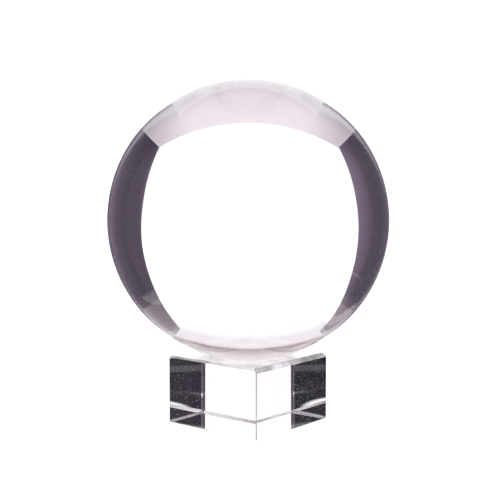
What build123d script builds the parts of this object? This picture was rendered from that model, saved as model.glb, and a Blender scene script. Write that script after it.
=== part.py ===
from build123d import *
import os

# A solid glass crystal ball resting in the ground seat of a bevelled glass block stand.
# Millimetres, +Z up. The origin is the centre of the stand's underside, so z = 0 is the table.
# The stand's four sides face -Y (front), +Y (back), -X (left) and +X (right).

# Ball
BALL_DIAMETER = 80.0

# Stand
STAND_SIDE = 32.8
STAND_HEIGHT = 19.4

SIDES = {
    "front": Vector(0, -1, 0),
    "right": Vector(1, 0, 0),
    "back": Vector(0, 1, 0),
    "left": Vector(-1, 0, 0),
}

# Bevels, measured along the faces they cut. The top and foot bevels are ground by hand,
# so each side has its own width.
TOP_BEVELS = {"front": 0.55, "right": 1.15, "back": 1.1, "left": 1.1}
FOOT_BEVELS = {"front": 0.45, "right": 0.3, "back": 0.5, "left": 0.45}
CORNER_BEVEL = 0.65

# Seat: how far the ball's lowest point lies under the stand's top face,
# and the clearance all round between the ball and the concave seat.
SEAT_DIP = 1.35
SEAT_CLEARANCE = 0.1

BALL_RADIUS = BALL_DIAMETER / 2
BALL_CENTRE_Z = STAND_HEIGHT - SEAT_DIP + BALL_RADIUS


def make_ball():
    """The ball: one solid sphere, its poles on the vertical axis."""
    return Pos(0, 0, BALL_CENTRE_Z) * Sphere(BALL_RADIUS)


def bevel_plane(outward, level, up, width):
    """The plane of a 45 degree bevel: outward is the side's normal, up is 1 at the top, -1 at the foot."""
    middle = outward * (STAND_SIDE / 2 - width / 2) + Vector(0, 0, level - up * width / 2)
    return Plane(origin=middle, z_dir=outward + Vector(0, 0, up))


def make_stand():
    """The stand: a square block, bevelled along all twelve edges, with a concave round seat."""
    align = (Align.CENTER, Align.CENTER, Align.MIN)
    block = Box(STAND_SIDE, STAND_SIDE, STAND_HEIGHT, align=align)
    block = chamfer(block.edges().filter_by(Axis.Z), CORNER_BEVEL)
    for side, outward in SIDES.items():
        top = bevel_plane(outward, STAND_HEIGHT, 1, TOP_BEVELS[side])
        foot = bevel_plane(outward, 0, -1, FOOT_BEVELS[side])
        block = split(block, bisect_by=top, keep=Keep.BOTTOM)
        block = split(block, bisect_by=foot, keep=Keep.BOTTOM)
    seat_tool = Pos(0, 0, BALL_CENTRE_Z) * Sphere(BALL_RADIUS + SEAT_CLEARANCE)
    return block - seat_tool


os.makedirs("parts", exist_ok=True)
export_step(make_stand(), "parts/glass_stand.step")
export_step(make_ball(), "parts/crystal_ball.step")
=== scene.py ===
import math

import bmesh
import bpy
from mathutils import Matrix, Vector


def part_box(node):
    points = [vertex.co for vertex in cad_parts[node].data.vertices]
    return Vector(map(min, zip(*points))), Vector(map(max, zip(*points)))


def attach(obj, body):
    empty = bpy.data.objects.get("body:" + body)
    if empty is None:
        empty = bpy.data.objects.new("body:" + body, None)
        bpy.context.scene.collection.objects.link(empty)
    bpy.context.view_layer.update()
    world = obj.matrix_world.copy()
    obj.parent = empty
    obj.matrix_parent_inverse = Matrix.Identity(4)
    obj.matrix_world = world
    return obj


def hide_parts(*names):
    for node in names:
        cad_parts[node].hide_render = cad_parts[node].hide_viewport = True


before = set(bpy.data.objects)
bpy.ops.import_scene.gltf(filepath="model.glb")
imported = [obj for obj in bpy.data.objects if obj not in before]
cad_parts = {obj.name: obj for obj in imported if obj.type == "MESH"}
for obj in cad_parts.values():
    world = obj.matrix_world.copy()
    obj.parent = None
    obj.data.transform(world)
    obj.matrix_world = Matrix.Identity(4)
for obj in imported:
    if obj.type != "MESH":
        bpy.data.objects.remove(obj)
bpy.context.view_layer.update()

MM = 0.001

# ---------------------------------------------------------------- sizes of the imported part, in metres
ball_low, ball_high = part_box("crystal_ball")
stand_low, stand_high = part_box("glass_stand")
BALL_CENTRE = (ball_low + ball_high) / 2
BALL_RADIUS = (ball_high.z - ball_low.z) / 2
STAND_HALF = (stand_high.x - stand_low.x) / 2
STAND_HEIGHT = stand_high.z - stand_low.z


# ---------------------------------------------------------------- colours and meshes
def srgb(red, green, blue):
    """Linear colour of an 8-bit sRGB one."""
    def linear(value):
        value = value / 255
        return value / 12.92 if value <= 0.04045 else ((value + 0.055) / 1.055) ** 2.4
    return (linear(red), linear(green), linear(blue), 1.0)


def grey(level, tint=(1.0, 1.0, 1.0)):
    """Linear colour of the given level, tinted."""
    return (level * tint[0], level * tint[1], level * tint[2], 1.0)


def mesh_object(name, bm):
    """A new object in the scene, from a bmesh that is used up."""
    mesh = bpy.data.meshes.new(name)
    bm.to_mesh(mesh)
    bm.free()
    obj = bpy.data.objects.new(name, mesh)
    bpy.context.scene.collection.objects.link(obj)
    return obj


# ---------------------------------------------------------------- material nodes
def new_material(name):
    """An empty node material and its tree."""
    material = bpy.data.materials.new(name)
    material.use_nodes = True
    material.node_tree.nodes.clear()
    return material, material.node_tree


def add_output(tree, shader):
    """End the tree in a surface output."""
    out = tree.nodes.new("ShaderNodeOutputMaterial")
    tree.links.new(shader, out.inputs["Surface"])


def map_range(tree, value, first, last):
    """0 at the first value, 1 at the last."""
    node = tree.nodes.new("ShaderNodeMapRange")
    node.inputs["From Min"].default_value = first
    node.inputs["From Max"].default_value = last
    tree.links.new(value, node.inputs["Value"])
    return node.outputs["Result"]


def ramp(tree, value, stops):
    """A colour ramp over stops of (position in the value's own unit, colour)."""
    first, last = stops[0][0], stops[-1][0]
    node = tree.nodes.new("ShaderNodeValToRGB")
    elements = node.color_ramp.elements
    elements[0].color = stops[0][1]
    elements[1].color = stops[-1][1]
    for position, colour in stops[1:-1]:
        elements.new((position - first) / (last - first)).color = colour
    tree.links.new(map_range(tree, value, first, last), node.inputs["Fac"])
    return node.outputs["Color"]


def blend(tree, kind, first, second):
    """Two colours put together by a blend type such as MULTIPLY or ADD."""
    node = tree.nodes.new("ShaderNodeMix")
    node.data_type = "RGBA"
    node.blend_type = kind
    node.inputs["Factor"].default_value = 1.0
    tree.links.new(first, node.inputs["A"])
    tree.links.new(second, node.inputs["B"])
    return node.outputs["Result"]


def math_node(tree, operation, first, second=None):
    """A sum on numbers or sockets."""
    node = tree.nodes.new("ShaderNodeMath")
    node.operation = operation
    for socket, value in zip(node.inputs, (first, second)):
        if isinstance(value, (int, float)):
            socket.default_value = value
        elif value is not None:
            tree.links.new(value, socket)
    return node.outputs["Value"]


def mix_shaders(tree, factor, first, second):
    """The first shader where the factor is 0, the second where it is 1."""
    node = tree.nodes.new("ShaderNodeMixShader")
    tree.links.new(factor, node.inputs["Fac"])
    tree.links.new(first, node.inputs[1])
    tree.links.new(second, node.inputs[2])
    return node.outputs["Shader"]


def emission(tree, colour):
    """Emission of a constant colour or of a socket's colour."""
    node = tree.nodes.new("ShaderNodeEmission")
    if isinstance(colour, tuple):
        node.inputs["Color"].default_value = colour
    else:
        tree.links.new(colour, node.inputs["Color"])
    return node.outputs["Emission"]


def millimetres(tree):
    """The point's place on its own object, in millimetres."""
    coordinates = tree.nodes.new("ShaderNodeTexCoord")
    scale = tree.nodes.new("ShaderNodeVectorMath")
    scale.operation = "SCALE"
    scale.inputs["Scale"].default_value = 1 / MM
    tree.links.new(coordinates.outputs["Object"], scale.inputs["Vector"])
    return scale.outputs["Vector"]


def separate(tree, vector):
    """The three axes of a vector, one socket each."""
    axes = tree.nodes.new("ShaderNodeSeparateXYZ")
    tree.links.new(vector, axes.inputs["Vector"])
    return axes.outputs


# ---------------------------------------------------------------- ball
BALL_CUTS = 120


def ball_mesh():
    """A sphere made from a cube's evenly spread grid, so that it has no poles."""
    bm = bmesh.new()
    bmesh.ops.create_cube(bm, size=2.0)
    bmesh.ops.subdivide_edges(bm, edges=bm.edges[:], cuts=BALL_CUTS, use_grid_fill=True)
    for vert in bm.verts:
        even = Vector(math.tan(c * math.pi / 4) for c in vert.co)
        vert.co = BALL_CENTRE + even.normalized() * BALL_RADIUS
    for face in bm.faces:
        face.smooth = True
    return bm


ball = mesh_object("polished_ball", ball_mesh())
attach(ball, "ball")
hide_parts("crystal_ball")


# ---------------------------------------------------------------- stand
SEAT_RADIUS = BALL_RADIUS + 0.1 * MM
SEAT_RIM = 0.12 * MM
RIM_SHOULDER = 0.4 * SEAT_RIM
RIM_DROP = 0.06 * SEAT_RIM
SEAT_STEPS = 192
SEAT_RINGS = 20

# Ground bevels of the block, each with its own width at its two ends: (start, end), millimetres.
# A side's bevels run anticlockwise seen from above.
TOP_BEVELS = {"front": (0.55, 0.5), "right": (1.17, 1.15), "back": (1.1, 1.0), "left": (1.0, 1.1)}
FOOT_BEVELS = {"front": (0.35, 0.5), "right": (0.3, 0.2), "back": (0.4, 0.6), "left": (0.4, 0.4)}

# Upright bevels, each at the corner where the named side ends.
CORNER_BEVELS = {"front": 0.24, "right": 0.55, "back": 0.78, "left": 0.6}
EDGE_ROUND = 0.06 * MM
SIDE_TURNS = {"front": 0, "right": 90, "back": 180, "left": 270}

# A face is flat if its normal is nearly along an axis, and upright if its normal is nearly level.
FLAT_LIMIT = 0.995
UPRIGHT_LIMIT = 0.3
SEAT_REACH = 0.75 * STAND_HALF

# Roughness that grinding leaves on the bevels.
TOP_GRINDING = 0.13
FOOT_GRINDING = 0.3
CORNER_GRINDING = 0.07
NEAR_CORNER_GRINDING = 0.4


def cut(bm, point, normal):
    """Take away what lies on the normal's side of a plane, and close the cut with one flat face."""
    geometry = bm.verts[:] + bm.edges[:] + bm.faces[:]
    result = bmesh.ops.bisect_plane(
        bm, geom=geometry, plane_co=point, plane_no=normal, clear_outer=True, dist=1e-7)
    rim = [item for item in result["geom_cut"] if isinstance(item, bmesh.types.BMEdge)]
    bmesh.ops.edgenet_fill(bm, edges=rim)


def bevel_plane(side, foot, widths):
    """Point and normal of the plane of a ground bevel along a top or foot edge."""
    start, end = (width * MM for width in widths)
    level = 0 if foot else STAND_HEIGHT
    away = 1 if foot else -1
    spin = Matrix.Rotation(math.radians(SIDE_TURNS[side]), 3, "Z")
    first = Vector((-STAND_HALF, -STAND_HALF, level + away * start))
    second = Vector((STAND_HALF, -STAND_HALF, level + away * end))
    inner = Vector((0, -STAND_HALF + (start + end) / 2, level))
    normal = (second - first).cross(inner - first).normalized()
    if normal.y > 0:
        normal = -normal
    return spin @ first, spin @ normal


def corner_plane(side, width):
    """Point and normal of the plane of an upright bevel."""
    spin = Matrix.Rotation(math.radians(SIDE_TURNS[side]), 3, "Z")
    point = Vector((STAND_HALF - width * MM, -STAND_HALF, 0))
    return spin @ point, spin @ Vector((1, -1, 0)).normalized()


def seat_rings(bm):
    """Rings of vertices from the seat's narrow rounded rim down the hollow, outermost first."""
    rim_angle = math.acos((BALL_CENTRE.z - STAND_HEIGHT) / SEAT_RADIUS)
    inner_angle = rim_angle - SEAT_RIM / SEAT_RADIUS
    rim_radius = SEAT_RADIUS * math.sin(rim_angle)

    def ring(radius, height):
        turns = [2 * math.pi * step / SEAT_STEPS for step in range(SEAT_STEPS)]
        return [bm.verts.new((radius * math.cos(a), radius * math.sin(a), height)) for a in turns]

    rings = [ring(rim_radius + SEAT_RIM, STAND_HEIGHT)]
    rings.append(ring(rim_radius + RIM_SHOULDER, STAND_HEIGHT - RIM_DROP))
    for index in range(SEAT_RINGS):
        angle = inner_angle * (1 - index / SEAT_RINGS)
        rings.append(ring(SEAT_RADIUS * math.sin(angle), BALL_CENTRE.z - SEAT_RADIUS * math.cos(angle)))
    return rings


def cut_seat(bm):
    """Open the top face and sink the seat into it."""
    top = max((face for face in bm.faces if face.normal.z > 0.999), key=lambda face: face.calc_area())
    outline = list(top.edges)
    bmesh.ops.delete(bm, geom=[top], context="FACES_ONLY")
    rings = seat_rings(bm)
    neighbours = [(step, (step + 1) % SEAT_STEPS) for step in range(SEAT_STEPS)]
    for outer, inner in zip(rings, rings[1:]):
        for here, there in neighbours:
            bm.faces.new((outer[here], outer[there], inner[there], inner[here])).smooth = True
    bottom = bm.verts.new((0, 0, BALL_CENTRE.z - SEAT_RADIUS))
    for here, there in neighbours:
        bm.faces.new((rings[-1][here], rings[-1][there], bottom)).smooth = True
    circle = [bm.edges.get((rings[0][here], rings[0][there])) for here, there in neighbours]
    bmesh.ops.triangle_fill(bm, edges=outline + circle, use_beauty=True, use_dissolve=False)


def stand_mesh():
    """The block: cube, ground bevels, rounded arrises and the concave seat."""
    bm = bmesh.new()
    bmesh.ops.create_cube(bm, size=1.0)
    for vert in bm.verts:
        x, y, z = vert.co
        vert.co = Vector((x * 2 * STAND_HALF, y * 2 * STAND_HALF, (z + 0.5) * STAND_HEIGHT))
    for side, width in CORNER_BEVELS.items():
        cut(bm, *corner_plane(side, width))
    for side, widths in FOOT_BEVELS.items():
        cut(bm, *bevel_plane(side, True, widths))
    for side, widths in TOP_BEVELS.items():
        cut(bm, *bevel_plane(side, False, widths))
    bm.normal_update()
    bmesh.ops.bevel(
        bm, geom=bm.edges[:], offset=EDGE_ROUND, segments=3, profile=0.5, affect="EDGES", clamp_overlap=True)
    bm.normal_update()
    cut_seat(bm)
    bmesh.ops.recalc_face_normals(bm, faces=bm.faces[:])
    return bm


def weigh_normals(mesh):
    """Shade every face smooth, with normals ruled by the large flat faces, so flats stay optically flat."""
    mesh.shade_smooth()
    sums = [Vector() for _ in mesh.vertices]
    for polygon in mesh.polygons:
        for index in polygon.vertices:
            sums[index] += polygon.normal * polygon.area
    mesh.normals_split_custom_set([tuple(sums[loop.vertex_index].normalized()) for loop in mesh.loops])


def face_grinding(normal, centre):
    """Grinding roughness of a face of the block: none on the polished flats and in the seat."""
    flat = max(abs(normal.x), abs(normal.y), abs(normal.z)) > FLAT_LIMIT
    in_seat = centre.z > STAND_HEIGHT / 2 and math.hypot(centre.x, centre.y) < SEAT_REACH
    if flat or in_seat:
        return 0.0
    if abs(normal.z) < UPRIGHT_LIMIT:
        return NEAR_CORNER_GRINDING if centre.x > 0 > centre.y else CORNER_GRINDING
    return TOP_GRINDING if normal.z > 0 else FOOT_GRINDING


def mark_grinding(mesh):
    """Store each face's grinding roughness as an attribute."""
    grinding = mesh.attributes.new("grinding", "FLOAT", "FACE")
    for polygon, item in zip(mesh.polygons, grinding.data):
        item.value = face_grinding(polygon.normal, polygon.center)


stand = mesh_object("cut_glass_block", stand_mesh())
weigh_normals(stand.data)
mark_grinding(stand.data)
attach(stand, "stand")
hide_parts("glass_stand")


# ---------------------------------------------------------------- glass
BALL_IOR = 1.517
STAND_IOR = 1.72
GLASS_TINT = (0.99, 0.985, 0.99, 1)
SPECK_ROUGHNESS = 0.55
SCRATCH_ROUGHNESS = 0.3
GRINDING_PATCH = 0.8
STAIN_SIZE = 9.0
PIT_DEPTH = 2e-7

# Dust and pits: spacing, radius and kept share of the specks. Scratches: length, width and kept share.
# All lengths in millimetres, but the depth of the polish's waviness is in metres.
BALL_WEAR = {"fine": (1.6, 0.07, 0.5), "coarse": (5.0, 0.16, 0.4), "scratches": (14.0, 0.012, 0.42),
             "wave_size": 22.0, "wave_depth": 2e-8}
STAND_WEAR = {"fine": (0.6, 0.075, 0.7), "coarse": (1.8, 0.12, 0.5), "scratches": (7.0, 0.006, 0.33),
              "wave_size": 3.0, "wave_depth": 5e-8}


def noise(tree, place, size, detail=2.0):
    """Soft noise with features of the given size in millimetres."""
    node = tree.nodes.new("ShaderNodeTexNoise")
    node.inputs["Scale"].default_value = 1 / size
    node.inputs["Detail"].default_value = detail
    tree.links.new(place, node.inputs["Vector"])
    return node.outputs["Fac"]


def specks(tree, place, spacing, radius, share):
    """1 inside small scattered spots of uneven size, 0 elsewhere; share is how many of them are kept."""
    cells = tree.nodes.new("ShaderNodeTexVoronoi")
    cells.inputs["Scale"].default_value = 1 / spacing
    tree.links.new(place, cells.inputs["Vector"])
    chance = tree.nodes.new("ShaderNodeSeparateColor")
    tree.links.new(cells.outputs["Color"], chance.inputs["Color"])
    kept = math_node(tree, "LESS_THAN", chance.outputs["Red"], share)
    uneven = math_node(tree, "ADD", chance.outputs["Green"], 0.35)
    size = math_node(tree, "MULTIPLY", uneven, radius / spacing)
    spot = math_node(tree, "LESS_THAN", cells.outputs["Distance"], size)
    return math_node(tree, "MULTIPLY", spot, kept)


def hairlines(tree, place, length, width, share):
    """1 along fine curved scratches, which are thin contours of a noise, broken up by another noise."""
    offset = math_node(tree, "SUBTRACT", noise(tree, place, length, 1.0), 0.5)
    line = math_node(tree, "LESS_THAN", math_node(tree, "ABSOLUTE", offset), width / length)
    patch = math_node(tree, "GREATER_THAN", noise(tree, place, length * 0.4, 0.0), 1 - share)
    return math_node(tree, "MULTIPLY", line, patch)


def ground_roughness(tree, place, attribute):
    """The roughness stored on the faces, made patchy."""
    ground = tree.nodes.new("ShaderNodeAttribute")
    ground.attribute_name = attribute
    uneven = math_node(tree, "ADD", noise(tree, place, GRINDING_PATCH), 0.5)
    return math_node(tree, "MULTIPLY", ground.outputs["Fac"], uneven)


def surface_relief(tree, place, wear, worn):
    """A bump from the polish's slight waviness, with the worn spots sunk into it."""
    wave = math_node(tree, "MULTIPLY", noise(tree, place, wear["wave_size"]), wear["wave_depth"])
    relief = math_node(tree, "SUBTRACT", wave, math_node(tree, "MULTIPLY", worn, PIT_DEPTH))
    bump = tree.nodes.new("ShaderNodeBump")
    bump.inputs["Distance"].default_value = 1.0
    tree.links.new(relief, bump.inputs["Height"])
    return bump.outputs["Normal"]


def glass_material(name, ior, wear, grinding=None):
    """Clear glass: dust specks, pits, hairline scratches and ground faces roughen it."""
    material, tree = new_material(name)
    place = millimetres(tree)
    marks = math_node(
        tree, "MAXIMUM", specks(tree, place, *wear["fine"]), specks(tree, place, *wear["coarse"]))
    lines = hairlines(tree, place, *wear["scratches"])
    rough = math_node(
        tree, "MAXIMUM", math_node(tree, "MULTIPLY", marks, SPECK_ROUGHNESS),
        math_node(tree, "MULTIPLY", lines, SCRATCH_ROUGHNESS))
    if grinding:
        rough = math_node(tree, "MAXIMUM", rough, ground_roughness(tree, place, grinding))
    worn = math_node(tree, "MAXIMUM", marks, lines)
    stain = ramp(tree, noise(tree, place, STAIN_SIZE, 3.0), [
        (0.45, GLASS_TINT), (0.75, grey(0.985, GLASS_TINT))])
    shader = tree.nodes.new("ShaderNodeBsdfPrincipled")
    shader.inputs["Transmission Weight"].default_value = 1.0
    shader.inputs["IOR"].default_value = ior
    tree.links.new(stain, shader.inputs["Base Color"])
    tree.links.new(rough, shader.inputs["Roughness"])
    tree.links.new(surface_relief(tree, place, wear, worn), shader.inputs["Normal"])
    add_output(tree, shader.outputs["BSDF"])
    return material


ball.data.materials.append(glass_material("ball_crystal", BALL_IOR, BALL_WEAR))
stand.data.materials.append(glass_material("stand_crystal", STAND_IOR, STAND_WEAR, "grinding"))

# ---------------------------------------------------------------- camera
CAMERA_AZIMUTH = math.radians(39.6)
CAMERA_DISTANCE = 250 * MM
CAMERA_RISE = 6.4 * MM
CAMERA_PITCH = math.radians(3.41)
CAMERA_SIDE = 0.5 * MM
CAMERA_LENS = 62.64

camera_data = bpy.data.cameras.new("camera")
camera_data.sensor_width = 36.0
camera_data.lens = CAMERA_LENS
camera_data.clip_start = 0.01
camera = bpy.data.objects.new("camera", camera_data)
bpy.context.scene.collection.objects.link(camera)
camera_point = Vector((CAMERA_SIDE, -CAMERA_DISTANCE, BALL_CENTRE.z + CAMERA_RISE))
turn = Matrix.Rotation(CAMERA_AZIMUTH, 4, "Z")
tilt = Matrix.Rotation(math.pi / 2 - CAMERA_PITCH, 4, "X")
camera.matrix_world = turn @ Matrix.Translation(camera_point) @ tilt
bpy.context.scene.camera = camera

# ---------------------------------------------------------------- studio
# Panels that only show in and through the glass. They hang on an empty that keeps turning towards the
# camera. Studio coordinates are millimetres: the view along +Y, z from the table.
# The cards, room walls and table patch are glowing sheets whose colours are painted light and shade.
EYE = BALL_CENTRE.z / MM
LEFT_X, RIGHT_X = -66.8, 65.5
CARD_FOOT = -1.0
CARD_TOP = EYE + 100
CARD_NEAR_Y = -6.5
ROOM_NEAR_Y = -300
ROOM_TONE = srgb(110, 102, 112)
SOFTBOX_Y = -320
SOFTBOX_HALF = 450
SOFTBOX_FOOT, SOFTBOX_TOP = 100, 1200
TABLE_FAR_Y = 165
PATCH_Z = -0.02
UNDER_BLOCK = 19
SOFT_EDGE = 4
SOFT_WHITE = (1.0, 0.99, 1.0)

# Far and top outlines of the two side cards: (y, z) from the table up and round to the near side.
LEFT_OUTLINE = [(163, CARD_FOOT), (158.5, 40), (149.5, 90), (137, 130), (137, CARD_TOP)]
RIGHT_OUTLINE = [(166, CARD_FOOT), (165, 40), (160, 70), (158, 120), (157, CARD_TOP)]

# Painted light and shade on each card along its length, as brightness: (y, gain). Up to NEAR_END it also has
# a bluish tint.
LEFT_DEPTHS = [(0, 0.2), (45, 0.3), (60, 1.6), (90, 0.9), (120, 1.1), (163, 2.6)]
RIGHT_DEPTHS = [(0, 0.2), (45, 0.3), (68, 3.0), (90, 1.3), (120, 0.85), (155, 1.0), (166, 1.8)]
NEAR_END = 50
NEAR_TINT = (0.85, 0.95, 1.15)
NO_TINT = (1.0, 1.0, 1.0)

# The lit upper part of a card starts at a slanting edge that rises by SLANT for each step of depth.
SLANT = 1.25

# Bright opening in each room wall: two depths, then two heights.
LEFT_WINDOW = (-185, -130, 112, 152)
RIGHT_WINDOW = (-100, -62, 106, 152)

studio = bpy.data.objects.new("studio", None)
bpy.context.scene.collection.objects.link(studio)
follow = studio.constraints.new("LOCKED_TRACK")
follow.target = camera
follow.track_axis = "TRACK_NEGATIVE_Y"
follow.lock_axis = "LOCK_Z"


def glow(name, colour):
    """An emitting material; its colour is a constant or a function that builds one from the tree."""
    material, tree = new_material(name)
    add_output(tree, emission(tree, colour(tree) if callable(colour) else colour))
    return material


def panel(name, corners, material):
    """A flat sheet in the studio, seen only in and through the glass."""
    bm = bmesh.new()
    bm.faces.new([bm.verts.new(Vector(corner) * MM) for corner in corners])
    obj = mesh_object(name, bm)
    obj.data.materials.append(material)
    obj.parent = studio
    obj.visible_camera = False
    obj.visible_diffuse = False
    obj.visible_shadow = False


def painted_card_light(depths):
    """Glowing dark card with painted shade, darkest low down and grey on top, with painted light on its
    upper part and a faint painted highlight along its foot.
    """
    def build(tree):
        axes = separate(tree, millimetres(tree))
        # Painted shade: darker low down, grey on top.
        height = ramp(tree, axes["Z"], [
            (0, srgb(72, 62, 75)), (22, srgb(84, 74, 88)), (EYE + 44, srgb(84, 74, 88)),
            (EYE + 53, srgb(110, 99, 110)), (CARD_TOP, srgb(130, 118, 127))])
        # Painted light and shade along the card's length.
        depth = ramp(tree, axes["Y"], [
            (at, grey(gain, NEAR_TINT if at < NEAR_END else NO_TINT)) for at, gain in depths])
        slant = math_node(tree, "ADD", axes["Z"], math_node(tree, "MULTIPLY", axes["Y"], -SLANT))
        lit = ramp(tree, slant, [(5, grey(0.0)), (25, grey(0.25)), (45, grey(0.5))])
        deep = ramp(tree, axes["Y"], [(34, grey(0.0)), (46, grey(1.0))])
        # Painted highlight: a faint light line along the foot of the card's near part.
        foot = ramp(tree, axes["Z"], [(0.8, grey(0.07)), (1.5, grey(0.0))])
        shallow = ramp(tree, axes["Y"], [(40, grey(1.0)), (55, grey(0.0))])
        base = blend(tree, "MULTIPLY", height, depth)
        upper = blend(tree, "ADD", base, blend(tree, "MULTIPLY", lit, deep))
        return blend(tree, "ADD", upper, blend(tree, "MULTIPLY", foot, shallow))
    return build


def opening(tree, value, first, last):
    """1 between two values, fading to 0 at both."""
    return ramp(tree, value, [
        (first, grey(0.0)), (first + SOFT_EDGE, grey(1.0)),
        (last - SOFT_EDGE, grey(1.0)), (last, grey(0.0))])


def room_colour(window):
    """Dim wall beside the camera with one bright opening."""
    def build(tree):
        near, far, low, high = window
        axes = separate(tree, millimetres(tree))
        wall = tree.nodes.new("ShaderNodeRGB")
        wall.outputs["Color"].default_value = ROOM_TONE
        across = opening(tree, axes["Y"], near, far)
        up = opening(tree, axes["Z"], low, high)
        return blend(tree, "ADD", wall.outputs["Color"], blend(tree, "MULTIPLY", across, up))
    return build


def table_mirror(tree):
    """Sharp reflection, for the table seen at a grazing angle."""
    mirror = tree.nodes.new("ShaderNodeBsdfGlossy")
    mirror.inputs["Roughness"].default_value = 0.0
    mirror.inputs["Color"].default_value = grey(0.97)
    return mirror.outputs["BSDF"]


def table_material():
    """White table in the glass, all painted light and shade: a painted pool of light under the block,
    painted pale lilac shade seen from above, lighter and darker along its depth and greyer near the cards,
    and a mirror at grazing angles."""
    material, tree = new_material("table_in_glass")
    axes = separate(tree, millimetres(tree))
    # Painted shade: the table greyer towards the cards at the sides.
    across = ramp(tree, math_node(tree, "ABSOLUTE", axes["X"]), [
        (0, srgb(240, 232, 240)), (36, srgb(238, 229, 238)), (60, srgb(216, 206, 215))])
    # Painted light and shade along the table's depth, brightest in front of the block.
    along = ramp(tree, axes["Y"], [
        (-22, grey(1.35)), (-10, grey(1.0)), (50, grey(0.8)), (120, grey(1.0)), (162, grey(1.05))])
    weight = tree.nodes.new("ShaderNodeLayerWeight")
    weight.inputs["Blend"].default_value = 0.5
    grazing = map_range(tree, weight.outputs["Facing"], 0.60, 0.70)
    plain = emission(tree, blend(tree, "MULTIPLY", across, along))
    open_table = mix_shaders(tree, grazing, plain, table_mirror(tree))
    square_x = math_node(tree, "MULTIPLY", axes["X"], axes["X"])
    square_y = math_node(tree, "MULTIPLY", axes["Y"], axes["Y"])
    radius = math_node(tree, "SQRT", math_node(tree, "ADD", square_x, square_y))
    # Painted pool of light on the table under the block.
    outside = map_range(tree, radius, UNDER_BLOCK, UNDER_BLOCK + 2)
    painted_light_under_block = emission(tree, grey(1.25, SOFT_WHITE))
    add_output(tree, mix_shaders(tree, outside, painted_light_under_block, open_table))
    return material


def hang_side(name, x, outline, depths, window):
    """A dark card beside the object, and the room wall that goes on from it past the camera."""
    near_foot, near_top = (x, CARD_NEAR_Y, CARD_FOOT), (x, CARD_NEAR_Y, CARD_TOP)
    card = [near_foot] + [(x, y, z) for y, z in outline] + [near_top]
    panel(name + "_card", card, glow(name + "_card", painted_card_light(depths)))
    wall = [near_foot, (x, ROOM_NEAR_Y, CARD_FOOT), (x, ROOM_NEAR_Y, CARD_TOP), near_top]
    panel(name + "_room", wall, glow(name + "_room", room_colour(window)))


def upright(left, right, y, low, high):
    """Corners of an upright sheet across the view."""
    return [(left, y, low), (right, y, low), (right, y, high), (left, y, high)]


hang_side("left", LEFT_X, LEFT_OUTLINE, LEFT_DEPTHS, LEFT_WINDOW)
hang_side("right", RIGHT_X, RIGHT_OUTLINE, RIGHT_DEPTHS, RIGHT_WINDOW)
front_wall = upright(LEFT_X, RIGHT_X, ROOM_NEAR_Y, CARD_FOOT, CARD_TOP)
panel("front_room", front_wall, glow("front_room", ROOM_TONE))
softbox = upright(-SOFTBOX_HALF, SOFTBOX_HALF, SOFTBOX_Y, SOFTBOX_FOOT, SOFTBOX_TOP)
panel("front_softbox", softbox, glow("front_softbox", grey(1.0, SOFT_WHITE)))
patch = [(LEFT_X, ROOM_NEAR_Y), (RIGHT_X, ROOM_NEAR_Y), (RIGHT_X, TABLE_FAR_Y), (LEFT_X, TABLE_FAR_Y)]
panel("table_in_glass", [(x, y, PATCH_Z) for x, y in patch], table_material())


def sky_colour(tree):
    """White backdrop, fading upwards to a dark seam and a pinkish ceiling; read from the ray's rise."""
    coordinates = tree.nodes.new("ShaderNodeTexCoord")
    rise = separate(tree, coordinates.outputs["Generated"])["Z"]
    lilac, pink, rose = (1, 0.95, 1.0), (1, 0.9, 0.95), (1, 0.75, 0.8)

    def at(degrees):
        return math.sin(math.radians(degrees))

    return ramp(tree, rise, [
        (at(0), grey(1.35)), (at(33), grey(1.15)), (at(40), grey(0.88, lilac)), (at(47), grey(0.9, pink)),
        (at(50), grey(0.25, rose)), (at(60), grey(0.5, rose)), (at(90), grey(0.4, rose))])


world = bpy.data.worlds.new("studio_air")
world.use_nodes = True
background = world.node_tree.nodes["Background"]
background.inputs["Strength"].default_value = 1.0
world.node_tree.links.new(sky_colour(world.node_tree), background.inputs["Color"])
bpy.context.scene.world = world

FLOOR_SIZE = 3.0
FLOOR_DROP = 0.05 * MM
floor_bm = bmesh.new()
bmesh.ops.create_grid(floor_bm, x_segments=1, y_segments=1, size=FLOOR_SIZE)
floor = mesh_object("floor", floor_bm)
floor.location.z = -FLOOR_DROP
floor.data.materials.append(glow("floor", grey(1.15, SOFT_WHITE)))

# Light crosses many glass faces before it leaves the block and the ball.
bpy.context.scene.view_settings.view_transform = "Standard"
bpy.context.scene.cycles.max_bounces = 40
bpy.context.scene.cycles.transmission_bounces = 40
bpy.context.scene.cycles.glossy_bounces = 24
